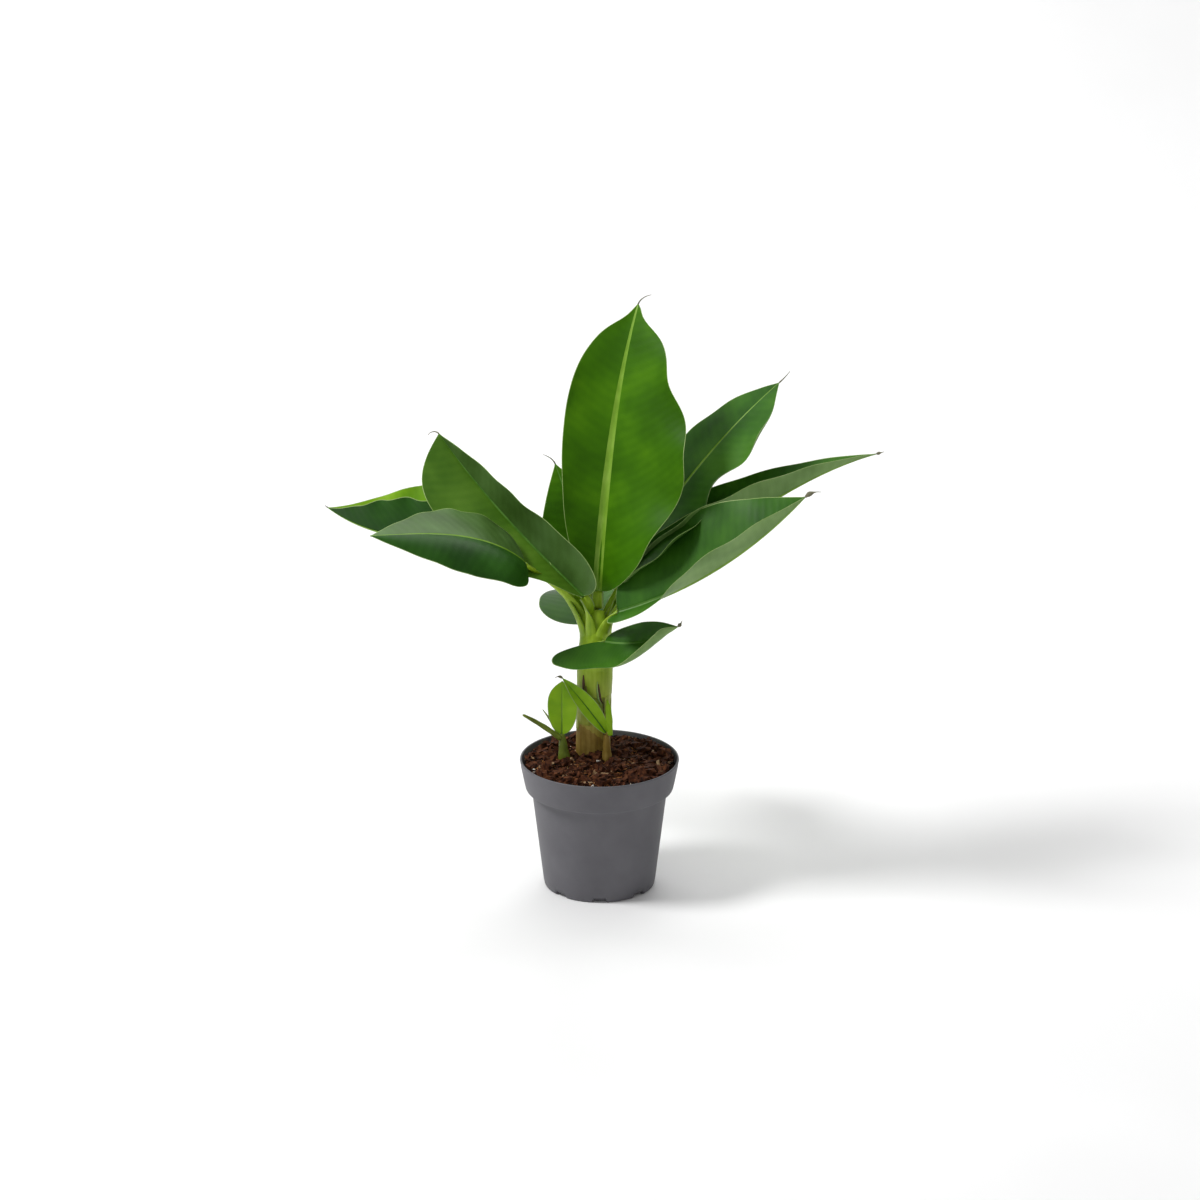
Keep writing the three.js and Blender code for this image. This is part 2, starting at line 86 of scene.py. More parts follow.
# leaf blade skin: veins follow the VeinMap, whose u runs along the blade and v from midrib to margin
def bladeSkin(name, dark, mid, light, roughLow, roughHigh, veinMm, gloss=0.2):
    m, tree = newMaterial(name)
    # side veins every few millimetres, as faint paler lines and shallow ridges
    where = add(tree, "ShaderNodeUVMap", {"uv_map": "VeinMap"})
    main = add(tree, "ShaderNodeTexWave", {"wave_type": "BANDS", "bands_direction": "X", "Scale": 4.2,
               "Distortion": 0.6, "Detail": 1.0, "Detail Scale": 0.6}, {"Vector": where.outputs["UV"]})
    fine = add(tree, "ShaderNodeTexWave", {"wave_type": "BANDS", "bands_direction": "X", "Scale": 24.0,
               "Distortion": 0.9, "Detail": 2.0, "Detail Scale": 1.2}, {"Vector": where.outputs["UV"]})
    place = add(tree, "ShaderNodeTexCoord")
    cloud = add(tree, "ShaderNodeTexNoise", {"Scale": 26.0, "Detail": 3.0, "Roughness": 0.5},
                {"Vector": place.outputs["Object"]})
    cells = add(tree, "ShaderNodeTexNoise", {"Scale": 900.0, "Detail": 2.0},
                {"Vector": place.outputs["Object"]})
    lines = add(tree, "ShaderNodeMath", {"operation": "MULTIPLY_ADD", 1: 0.035},
                {0: main.outputs["Fac"], 2: cloud.outputs["Fac"]})
    tone = add(tree, "ShaderNodeMath", {"operation": "MULTIPLY_ADD", 1: 0.04},
               {0: fine.outputs["Fac"], 2: lines.outputs["Value"]})
    colour = add(tree, "ShaderNodeValToRGB", {}, {"Fac": tone.outputs["Value"]},
                 [(0.36, dark), (0.54, mid), (0.76, light)]).outputs["Color"]
    rough = add(tree, "ShaderNodeMapRange", {"From Min": 0.3, "From Max": 0.7, "To Min": roughLow,
                "To Max": roughHigh}, {"Value": cloud.outputs["Fac"]})
    fineShare = add(tree, "ShaderNodeMath", {"operation": "MULTIPLY_ADD", 1: 0.35},
                    {0: fine.outputs["Fac"], 2: main.outputs["Fac"]})
    height = add(tree, "ShaderNodeMath", {"operation": "MULTIPLY_ADD", 1: 0.12},
                 {0: cells.outputs["Fac"], 2: fineShare.outputs["Value"]})
    finishSurface(tree, colour, rough.outputs["Result"], height.outputs["Value"], veinMm,
                  {"Specular IOR Level": gloss})
    return m


# long-fibred skin of stems, midribs and petioles
def fibreSkin(name, dark, mid, light, roughLow, roughHigh, stretch, bumpMm, low=None, gloss=0.3):
    m, tree = newMaterial(name)
    place = add(tree, "ShaderNodeTexCoord")
    long = add(tree, "ShaderNodeMapping", {"Scale": (1.0, 1.0, stretch)}, {"Vector": place.outputs["Object"]})
    fibre = add(tree, "ShaderNodeTexNoise", {"Scale": 420.0, "Detail": 4.0, "Roughness": 0.55},
                {"Vector": long.outputs["Vector"]})
    patch = add(tree, "ShaderNodeTexNoise", {"Scale": 45.0, "Detail": 3.0},
                {"Vector": place.outputs["Object"]})
    tone = add(tree, "ShaderNodeMath", {"operation": "MULTIPLY_ADD", 1: 0.45},
               {0: fibre.outputs["Fac"], 2: patch.outputs["Fac"]})
    colour = add(tree, "ShaderNodeValToRGB", {}, {"Fac": tone.outputs["Value"]},
                 [(0.5, dark), (0.72, mid), (0.95, light)]).outputs["Color"]
    if low:
        # older and browner towards the foot, from 190 mm down to 100 mm
        older = add(tree, "ShaderNodeValToRGB", {}, {"Fac": tone.outputs["Value"]},
                    [(0.5, low[0]), (0.72, low[1]), (0.95, low[2])]).outputs["Color"]
        parts = add(tree, "ShaderNodeSeparateXYZ", {}, {"Vector": place.outputs["Object"]})
        ragged = add(tree, "ShaderNodeMath", {"operation": "MULTIPLY_ADD", 1: 0.05},
                     {0: patch.outputs["Fac"], 2: parts.outputs["Z"]})
        share = add(tree, "ShaderNodeMapRange", {"From Min": 0.126, "From Max": 0.21},
                    {"Value": ragged.outputs["Value"]})
        colour = add(tree, "ShaderNodeMixRGB", {}, {"Fac": share.outputs["Result"], "Color1": older,
                     "Color2": colour}).outputs["Color"]
    rough = add(tree, "ShaderNodeMapRange", {"From Min": 0.35, "From Max": 0.65, "To Min": roughLow,
                "To Max": roughHigh}, {"Value": patch.outputs["Fac"]})
    finishSurface(tree, colour, rough.outputs["Result"], fibre.outputs["Fac"], bumpMm,
                  {"Specular IOR Level": gloss})
    return m


# rough grainy matter such as bark, crumb and perlite
def grainSkin(name, dark, mid, light, rough, size, bumpMm):
    m, tree = newMaterial(name)
    place = add(tree, "ShaderNodeTexCoord")
    grain = add(tree, "ShaderNodeTexNoise", {"Scale": size, "Detail": 5.0, "Roughness": 0.6},
                {"Vector": place.outputs["Object"]})
    colour = add(tree, "ShaderNodeValToRGB", {}, {"Fac": grain.outputs["Fac"]},
                 [(0.35, dark), (0.5, mid), (0.68, light)]).outputs["Color"]
    wear = add(tree, "ShaderNodeMapRange", {"To Min": rough - 0.08, "To Max": rough + 0.05},
               {"Value": grain.outputs["Fac"]})
    finishSurface(tree, colour, wear.outputs["Result"], grain.outputs["Fac"], bumpMm,
                  {"Specular IOR Level": 0.15})
    return m


# fresh unfurled blade: clear bright green with faint veins
freshLeaf = bladeSkin("banana leaf upper skin, young",
                      "305c02", "3a6a02", "4c7e06", 0.46, 0.6, 0.05, 0.1)
# grown blades: deep green with a waxy sheen
grownLeaf = bladeSkin("banana leaf upper skin, grown",
                      "24500a", "31620e", "427418", 0.4, 0.54, 0.05, 0.2)
# lighter copy of the grown blade, painted light where it stands up into the light
paintedLitLeaf = bladeSkin("banana leaf upper skin, grown with painted light",
                      "3c640e", "4c7418", "608628", 0.4, 0.54, 0.05, 0.25)
# deepest green, painted shade on blade halves down inside the folds and turned away from the light
paintedShadeLeaf = bladeSkin("banana leaf upper skin, shaded and deep",
                     "163c04", "204c08", "2c5c12", 0.4, 0.54, 0.05)
# grown blade turned to the light, grey-green with painted sheen where it reflects the light
paintedSheenLeaf = bladeSkin("banana leaf upper skin, grey with painted sheen",
                     "38561e", "46662c", "587a40", 0.38, 0.5, 0.05, 0.3)
# dull pale bloom on the underside
underLeaf = bladeSkin("banana leaf underside, waxy bloom",
                      "587a38", "6c8e4a", "80a05e", 0.5, 0.64, 0.06, 0.3)
# dark green underside with little bloom, painted shade where the underside lies in shadow
underPaintedShade = bladeSkin("banana leaf underside, dark with painted shade",
                       "143e02", "1e4c04", "2a5c0c", 0.46, 0.6, 0.06, 0.12)
# bright yellow-green strip on the oldest blade: painted light shining through the thin blade
paintedBacklightLeaf = bladeSkin("banana leaf upper skin, lime", "5e9008", "72a20e", "88b41c", 0.42, 0.56, 0.05)
skins = {"fresh": freshLeaf, "grown": grownLeaf, "deep": paintedShadeLeaf, "waxy": paintedSheenLeaf, "under": underLeaf,
         "paintedLit": paintedLitLeaf, "underPaintedShade": underPaintedShade, "paintedBacklight": paintedBacklightLeaf}
# smooth pale midrib, a light line down the blade
ribSkin = fibreSkin("banana midrib, smooth", "648c20", "749c2c", "88ac42", 0.32, 0.45, 0.12, 0.05)
# grown midrib, hardly paler than the blade
quietRib = fibreSkin("banana midrib, grown and greener",
                     "3c6a1c", "4c7a28", "608c3c", 0.32, 0.45, 0.12, 0.05)
# thin dry margin, the light outline of each blade
marginSkin = fibreSkin("banana leaf margin, thin and pale",
                       "7c9a4c", "94ae66", "aabf80", 0.45, 0.6, 1.0, 0.03)
# withered thread at each tip
threadSkin = fibreSkin("banana tip thread, withered", "4d4a3a", "6e6c56", "8c8a70", 0.7, 0.85, 0.4, 0.05)
# petioles and upper sheaths: light yellow-green, softly ribbed
petioleSkin = fibreSkin("banana petiole, ribbed and smooth",
                        "749612", "90b020", "acc642", 0.4, 0.54, 0.06, 0.10,
                         ("7e7a24", "a09c40", "bcb868"))
# grown sheaths of the stem, yellow olive
stemSkin = fibreSkin("banana stem sheath, olive", "848a22", "a4a63c", "bebe5e", 0.42, 0.56, 0.05, 0.14,
                     ("7a6824", "9c862e", "b8a650"))
# lowest sheath, gone brown and drier
oldSheath = fibreSkin("banana stem sheath, old and dry", "5a4418", "846a24", "a88e48", 0.5, 0.68, 0.05, 0.20)
# dead strips of sheath, also used as the painted shade inside the stem slit
deadSheathAndSlitShade = fibreSkin("banana sheath, dead and papery", "3a261a", "5a4230", "7d654a", 0.7, 0.85, 0.06, 0.25)
# tender sucker blades, yellower than the leaves
suckerSkin = bladeSkin("banana sucker blade, tender", "6a9a08", "82ae10", "98c228", 0.4, 0.54, 0.04)
suckerStem = fibreSkin("banana sucker base, olive", "505c14", "687820", "84943c", 0.4, 0.55, 0.06, 0.1)


def joinMesh(name, verts, faces, materials, faceMaterial=None, smooth=True):
    mesh = bpy.data.meshes.new(name)
    mesh.from_pydata([tuple(v) for v in verts], [], faces)
    for m in materials:
        mesh.materials.append(m)
    if faceMaterial is not None:
        mesh.polygons.foreach_set("material_index", faceMaterial)
    mesh.polygons.foreach_set("use_smooth", [smooth] * len(mesh.polygons))
    mesh.update()
    obj = bpy.data.objects.new(name, mesh)
    bpy.context.scene.collection.objects.link(obj)
    return obj


def settle(obj, slot, *nodes):
    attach(obj, "root")
    if nodes:
        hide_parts(*nodes)


def smooth(a, b, x):
    t = np.clip((x - a) / (b - a), 0, 1)
    return t * t * (3 - 2 * t)


def blend(values, t):
    base, middle, tip = values
    return np.where(t < 0.5, base + (middle - base) * smooth(0, 0.5, t),
                    middle + (tip - middle) * smooth(0.5, 1, t))


def arc(values, t):
    base, middle, tip = values
    return base * (1 - t) * (1 - 2 * t) + middle * 4 * t * (1 - t) + tip * t * (2 * t - 1)


# sizes in mm and angles in degrees, shared by every blade that doesn't give its own
halfDefaults = {"half": 30, "round": 0.4, "wide": 0.45, "taper": 2, "point": 1, "fold": (40, 20, 10),
                "curl": 0, "lobe": 0, "lobePower": 1.5, "ripple": 0, "ripples": 5, "phase": 0, "waist": (),
                "hem": 0, "skin": "grown", "under": "under"}
bladeDefaults = {"az": 0, "rise": (40, 30, 20), "sway": 0, "length": 100, "roll": 0, "lobeEnd": 0.3,
                 "thread": 6, "threadDrop": 30, "threadTurn": 0, "bud": 0, "rib": 1.8, "ribSkin": quietRib}


def frameAt(blade, t):
    climb = np.radians(arc(blade["rise"], t))
    heading = np.radians(blade["az"] + blade["sway"] * t)
    along = np.stack([np.cos(climb) * np.cos(heading), np.cos(climb) * np.sin(heading), np.sin(climb)], -1)
    side = np.stack([np.sin(heading), -np.cos(heading), 0 * heading], -1)
    face = np.cross(side, along)
    roll = math.radians(blade["roll"])
    return along, math.cos(roll) * side + math.sin(roll) * face, -math.sin(roll) * side + math.cos(roll) * face


def baseRounding(half, t):
    return np.sqrt(np.clip(1 - (1 - np.clip(t / half["round"], 0, 1)) ** 2, 0, 1))


def halfWidth(half, t):
    s = np.clip((t - half["wide"]) / (1 - half["wide"]), 0, 1)
    width = half["half"] * baseRounding(half, t) * (1 - s ** half["taper"]) ** half["point"]
    for place, spread, depth in half["waist"]:
        width = width * (1 - depth * np.exp(-((t - place) / spread) ** 2))
    return width


bladeRows = 90
bladeColumns = 22      # per half, besides the midrib and the margin
hemWidth = 0.45        # width of the pale margin line
bladeThick = 0.35
baseHalf, tipHalf = 1.2, 0.45      # least half width near the petiole and near the tip
channelDeep = 0.5
midribSteps = 1200
pleatHigh, pleatEvery = 0.035, 7.5


# points of one half: rows along the blade, columns from midrib to margin
def halfGrid(blade, half, sign, t, centre, ribHalf):
    along, side, face = frameAt(blade, t)
    full = np.maximum(halfWidth(half, t), np.where(t < 0.5, baseHalf, tipHalf))
    rib = np.minimum(ribHalf, full * 0.6)
    hem = np.minimum(hemWidth, full * 0.2)
    spread = np.linspace(0, 1, bladeColumns + 1)[None, :]
    middle = rib[:, None] + (full - hem - rib)[:, None] * spread
    reach = np.concatenate([0 * rib[:, None], rib[:, None] * 0.5, middle, full[:, None]], 1)
    ratio = reach / full[:, None]
    step = np.diff(reach, axis=1)
    mid = (ratio[:, 1:] + ratio[:, :-1]) / 2
    wave = half["ripple"] * np.sin(2 * np.pi * half["ripples"] * t + half["phase"])[:, None] * mid ** 3
    wave = wave * (smooth(0.03, 0.2, t) * (1 - smooth(0.9, 1.0, t)))[:, None]
    hemTurn = half["hem"] * smooth(0.8, 1.0, mid)
    curl = blend(half["curl"], t)[:, None] if isinstance(half["curl"], tuple) else half["curl"]
    angle = np.radians(blend(half["fold"], t)[:, None] + curl * mid + wave + hemTurn)
    move = sign * np.cos(angle)[..., None] * side[:, None, :] + np.sin(angle)[..., None] * face[:, None, :]
    points = np.concatenate([centre[:, None, :], centre[:, None, :] + np.cumsum(move * step[..., None], 1)], 1)
    pull = half["lobe"] * baseRounding(half, t) * np.clip(1 - t / blade["lobeEnd"], 0, 1)
    points = points - along[:, None, :] * (pull[:, None] * ratio ** half["lobePower"])[..., None]
    return points, reach, ratio


def midribLine(blade, t):
    fineT = np.linspace(0, 1, midribSteps + 1)
    along, _, _ = frameAt(blade, fineT)
    steps = (along[1:] + along[:-1]) / 2 * blade["length"] / midribSteps
    start = np.array(blade["start"], float)
    line = np.concatenate([[start], start + np.cumsum(steps, 0)])
    return np.stack([np.interp(t, fineT, line[:, c]) for c in range(3)], -1)


def gridNormals(p):
    down = np.gradient(p, axis=0)
    across = np.gradient(p, axis=1)
    n = np.cross(across, down)
    return n / np.maximum(np.linalg.norm(n, axis=-1, keepdims=True), 1e-9)


# one whole blade: upper skin, underside, midrib and margin in one closed thin mesh
def makeBlade(name, given, slot):
    blade = dict(bladeDefaults)
    blade.update(given)
    left = dict(halfDefaults)
    left.update(given["left"])
    right = dict(halfDefaults)
    right.update(given["right"])
    t = np.linspace(0, 1, bladeRows) ** 1.2
    centre = midribLine(blade, t)
    ribHalf = blade["rib"] * (1 - 0.86 * t ** 1.2)
    gridL, reachL, ratioL = halfGrid(blade, left, -1, t, centre, ribHalf)
    gridR, reachR, ratioR = halfGrid(blade, right, 1, t, centre, ribHalf)
    points = np.concatenate([gridL[:, ::-1], gridR[:, 1:]], 1)
    reach = np.concatenate([-reachL[:, ::-1], reachR[:, 1:]], 1)
    ratio = np.concatenate([ratioL[:, ::-1], ratioR[:, 1:]], 1)
    normal = gridNormals(points)
    rows, columns = points.shape[:2]
    inRib = np.clip(1 - np.abs(reach) / ribHalf[:, None], 0, 1)
    # shallow channel above, round rib below, blade thinning to the margin
    halfThick = bladeThick / 2 * (1 - 0.5 * ratio)
    above = halfThick - channelDeep * np.sin(inRib * np.pi / 2) * (ribHalf / blade["rib"])[:, None]
    below = halfThick + ribHalf[:, None] * 0.9 * np.sqrt(np.clip(inRib, 0, 1))
    # soft swelling between the side veins
    skew = 0.3 * np.abs(reach) + 0.006 * reach ** 2
    veinPlace = t[:, None] * blade["length"] - skew
    pleat = pleatHigh * np.sin(2 * np.pi * veinPlace / pleatEvery)
    pleat = pleat * np.clip(ratio * 3, 0, 1) * np.clip((1 - ratio) * 4, 0, 1)
    top = points + normal * (above + pleat)[..., None]
    bottom = points - normal * (below - pleat)[..., None]
    verts = np.concatenate([top.reshape(-1, 3), bottom.reshape(-1, 3)]) * mm
    shift = rows * columns
    faces, kinds = [], []
    middle = columns // 2
    for i in range(rows - 1):
        for j in range(columns - 1):
            a, b = i * columns + j, i * columns + j + 1
            c, d = b + columns, a + columns
            out = max(abs(j - middle), abs(j + 1 - middle))
            side = 0 if j < middle else 1
            kind = 4 if out <= 2 else (6 if out > bladeColumns + 2 else side)
            faces.append((a, b, c, d))
            kinds.append(kind)
            faces.append((shift + a, shift + d, shift + c, shift + b))
            kinds.append(5 if kind == 4 else (kind if kind == 6 else 2 + side))
    for i in range(rows - 1):
        a, d = i * columns, (i + 1) * columns
        faces.append((a, d, shift + d, shift + a))
        b, c = a + columns - 1, d + columns - 1
        faces.append((c, b, shift + b, shift + c))
        kinds += [6, 6]
    for j in range(columns - 1):
        faces.append((j + 1, j, shift + j, shift + j + 1))
        a = (rows - 1) * columns + j
        faces.append((a, a + 1, shift + a + 1, shift + a))
        kinds += [4, 6]
    skinList = [skins[left["skin"]], skins[right["skin"]], skins[left["under"]], skins[right["under"]],
                blade["ribSkin"], ribSkin, marginSkin]
    obj = joinMesh(name, verts, faces, skinList, kinds)
    layer = obj.data.uv_layers.new(name="VeinMap")
    flat = np.stack([np.tile((veinPlace / 100).reshape(-1), 2), np.tile(ratio.reshape(-1), 2)], -1)
    loops = np.zeros(len(obj.data.loops), int)
    obj.data.loops.foreach_get("vertex_index", loops)
    layer.data.foreach_set("uv", flat[loops].reshape(-1))
    settle(obj, slot, name)
    if blade["thread"] > 0:
        makeThread(name + "_thread", blade, centre[-1], slot)


# round tube through points with a radius each
def tube(points, radii, sides=10, flat=1.0):
    points = np.array(points, float)
    ahead = np.gradient(points, axis=0)
    ahead /= np.maximum(np.linalg.norm(ahead, axis=1, keepdims=True), 1e-9)
    guide = np.array([0.0, 1.0, 0.0]) if abs(ahead[0] @ np.array([0, 1.0, 0])) < 0.8 else np.array([1.0, 0, 0])
    verts, faces = [], []
    across = np.cross(guide, ahead[0])
    for i, p in enumerate(points):
        across = across - ahead[i] * (across @ ahead[i])
        across = across / np.linalg.norm(across)
        out = np.cross(ahead[i], across)
        for k in range(sides):
            turn = 2 * np.pi * k / sides
            verts.append(p + radii[i] * (np.cos(turn) * across + flat * np.sin(turn) * out))
    count = len(points)
    for i in range(count - 1):
        for k in range(sides):
            n = (k + 1) % sides
            faces.append((i * sides + k, i * sides + n, (i + 1) * sides + n, (i + 1) * sides + k))
    faces.append(tuple(range(sides))[::-1])
    faces.append(tuple((count - 1) * sides + k for k in range(sides)))
    return np.array(verts), faces


def makeThread(name, blade, tip, slot):
    count = 9
    drop = np.linspace(0, 1, count)
    place = np.array(tip, float)
    points = [place.copy()]
    for k in range(1, count):
        climb = math.radians(blade["rise"][2] - blade["threadDrop"] * drop[k])
        heading = math.radians(blade["az"] + blade["sway"] + blade["threadTurn"] * min(2 * drop[k], 1))
        level = math.cos(climb)
        way = np.array([level * math.cos(heading), level * math.sin(heading), math.sin(climb)])
        place = place + way * blade["thread"] / (count - 1)
        points.append(place.copy())
    radii = np.linspace(0.6, 0.2, count) + blade["bud"] * np.exp(-((drop - 0.3) / 0.22) ** 2)
    verts, faces = tube(points, radii, 9)
    obj = joinMesh(name, verts * mm, faces, [threadSkin])
    settle(obj, slot)


leaves = {
    "leaf_centre": {
        "start": (-1, 20, 229), "az": 70, "rise": (80, 74, 62), "sway": -14, "length": 219, "thread": 13,
        "threadDrop": 50, "threadTurn": -60, "rib": 4.6, "ribSkin": ribSkin,
        "left": {"half": 38, "round": 0.65, "wide": 0.6, "taper": 2.6, "fold": (32, 14, 8), "curl": 24,
                 "ripple": 12, "ripples": 3, "phase": 1.0, "waist": [(0.97, 0.05, 0.4)], "skin": "fresh"},
        "right": {"half": 71, "round": 0.62, "wide": 0.4, "taper": 1.7, "point": 0.75, "fold": (35, 10, 5),
                  "ripple": 16, "ripples": 3.4, "phase": 3.4, "curl": -8, "skin": "fresh",
                  "waist": [(0.97, 0.05, 0.5), (0.74, 0.07, 0.13)]},
        "petiole": {"z": 160, "over": 0.0, "end": 4.4},
    },
    "leaf_centre_back": {
        "start": (-9, 26, 227), "az": 128, "rise": (78, 66, 56), "length": 100, "roll": 40, "thread": 12,
        "threadDrop": 40, "threadTurn": 45,
        "left": {"half": 28, "round": 0.5, "wide": 0.4, "taper": 1.6, "fold": (20, 0, 0), "ripple": 4,
                 "skin": "fresh"},
        "right": {"half": 24, "round": 0.5, "wide": 0.4, "taper": 1.6, "fold": (30, 20, 10), "skin": "fresh"},
        "petiole": {"z": 164, "over": 0.2, "end": 3.0},
    },
    "leaf_right_upper": {
        "start": (15, 24, 232), "az": 20, "rise": (60, 49, 37), "length": 196, "thread": 12, "threadDrop": -10,
        "rib": 1.8, "ribSkin": ribSkin,
        "left": {"half": 37, "round": 0.45, "wide": 0.45, "taper": 3, "fold": (40, 12, 10), "ripple": 6},
        "right": {"half": 50, "round": 0.4, "wide": 0.45, "taper": 3.2, "fold": (20, -14, 0), "curl": -10,
                  "ripple": 16, "ripples": 4, "phase": 0.6, "waist": [(0.54, 0.16, 0.42)], "hem": 60},
        "petiole": {"z": 152, "over": 0.4, "end": 3.4},
    },
    "leaf_right_long": {
        "start": (20, 18, 227), "az": 6, "rise": (28, 33, 14), "length": 217, "thread": 6, "threadDrop": 0,
        "bud": 0.8,
        "left": {"half": 43, "round": 0.4, "wide": 0.3, "taper": 1.2, "fold": (50, 46, 30), "ripple": 7},
        "right": {"half": 36, "round": 0.4, "wide": 0.35, "taper": 1.3, "fold": (70, 62, 50), "ripple": 9,
                  "ripples": 5, "phase": 2},
        "petiole": {"z": 146, "over": 0.35, "end": 3.6},
    },
    "leaf_right_near": {
        "start": (14, -2, 220), "az": -14, "rise": (20, 36, 50), "length": 176, "thread": 13, "threadDrop": 50,
        "bud": 1.5, "lobeEnd": 0.25,
        "left": {"half": 50, "round": 0.4, "fold": (62, 58, 44), "lobe": 6, "ripple": 4},
        "right": {"half": 36, "round": 0.7, "fold": (-12, 30, 36), "lobe": 50, "lobePower": 1, "ripple": 7,
                  "ripples": 4},
        "petiole": {"z": 136, "over": 0.6, "end": 4.4},
    },
    "leaf_left_upper": {
        "start": (-12, 10, 228), "az": 145, "rise": (33, 37, 46), "length": 171, "roll": 40, "thread": 10,
        "threadDrop": 100, "threadTurn": 35,
        # left half: lighter skin, painted light
        "left": {"half": 43, "round": 0.75, "wide": 0.6, "taper": 3.6, "fold": (54, 10, 10), "ripple": 6,
                 "ripples": 3, "skin": "paintedLit"},
        # right half: grey skin with painted sheen
        "right": {"half": 34, "round": 0.3, "wide": 0.25, "taper": 2.0, "fold": (55, 72, 60), "lobe": 26,
                  "ripple": 5, "skin": "waxy"},
        "petiole": {"z": 140, "over": 0.5, "end": 4.2},
    },
    "leaf_left_near": {
        "start": (-56, 8, 256), "az": 200, "rise": (44, 12, 4), "length": 128, "thread": 0, "lobeEnd": 0.4,
        "rib": 1.7, "ribSkin": ribSkin,
        # left half: darkest skin, painted shade
        "left": {"half": 42, "round": 0.25, "wide": 0.4, "taper": 1.5, "fold": (5, 0, 0), "curl": -60,
                 "lobe": 16, "ripple": 4, "skin": "deep"},
        # right half: grey skin with painted sheen
        "right": {"half": 40, "round": 0.35, "wide": 0.4, "taper": 1.5, "fold": (20, 14, 10), "ripple": 5,
                  "skin": "waxy"},
        "petiole": {"z": 132, "over": 0.8, "end": 3.2, "bow": (4, 15, -4)},
    },
    "leaf_left_long": {
        "start": (-56, 54, 243), "az": 155, "rise": (14, -2, 30), "length": 174, "thread": 3, "threadDrop": 0,
        # undersides of both halves dark green, painted shade
        "left": {"half": 41, "round": 0.35, "wide": 0.5, "taper": 2, "fold": (60, 68, 60), "ripple": 9,
                 "ripples": 6, "under": "underPaintedShade"},
        # right half: bright yellow-green upper skin, painted light shining through
        "right": {"half": 45, "round": 0.2, "wide": 0.4, "taper": 2, "fold": (85, 68, 60), "ripple": 7,
                  "skin": "paintedBacklight", "under": "underPaintedShade"},
        "petiole": {"z": 128, "over": 0.9, "end": 3.2},
    },
    "leaf_back": {
        "start": (-6, 32, 199), "az": 88, "rise": (18, -8, -32), "length": 130, "thread": 5, "threadDrop": 30,
        "lobeEnd": 0.35,
        "left": {"half": 42, "round": 0.3, "wide": 0.35, "taper": 1.7, "fold": (-5, -5, -10), "lobe": 8},
        "right": {"half": 40, "round": 0.3, "wide": 0.35, "taper": 1.7, "fold": (20, 15, 5), "lobe": 6},
        "petiole": {"z": 122, "over": 1.0, "end": 3.2},
    },
    "leaf_low_front": {
        "start": (4, -4, 197), "az": -12, "rise": (-5, 15, 42), "length": 60, "thread": 6, "threadDrop": -30,
        "bud": 1.1, "lobeEnd": 0.8, "rib": 1.1,
        "left": {"half": 22, "round": 0.5, "wide": 0.45, "taper": 2, "fold": (20, 25, 30), "lobe": 2},
        "right": {"half": 34, "round": 0.35, "wide": 0.45, "taper": 2, "fold": (-4, -46, 10),
                  "curl": (-30, 72, 66), "lobe": 66, "lobePower": 0.8, "ripple": 3},
        "petiole": {"z": 150, "over": 1.1, "end": 1.6},
    },
}
for leafName, sizes in leaves.items():
    makeBlade(leafName, sizes, "leaf_tissue")
print("leaf blades done", len(leaves))

stemAxis = [(92, -4.5, 12), (104, -4.5, 12), (122, -4.5, 12), (147, -4, 12), (169, -3, 12), (187, -2, 12),
            (200, -1.5, 12.5)]
stemRadius = [(92, 13.0), (104, 12.8), (122, 12.4), (147, 12.2), (169, 12.0), (187, 11.6), (200, 9.0)]


def stemCentre(z):
    zs = [row[0] for row in stemAxis]
    x = np.interp(z, zs, [row[1] for row in stemAxis])
    y = np.interp(z, zs, [row[2] for row in stemAxis])
    return np.array([x, y, z])


def stemWidth(z):
    return float(np.interp(z, [row[0] for row in stemRadius], [row[1] for row in stemRadius]))


stemFoot = 92
partingLow = 188       # where the petioles leave the stem
sheathTop = 196
partingOut = 3.5
petioleRows, petioleColumns = 46, 25


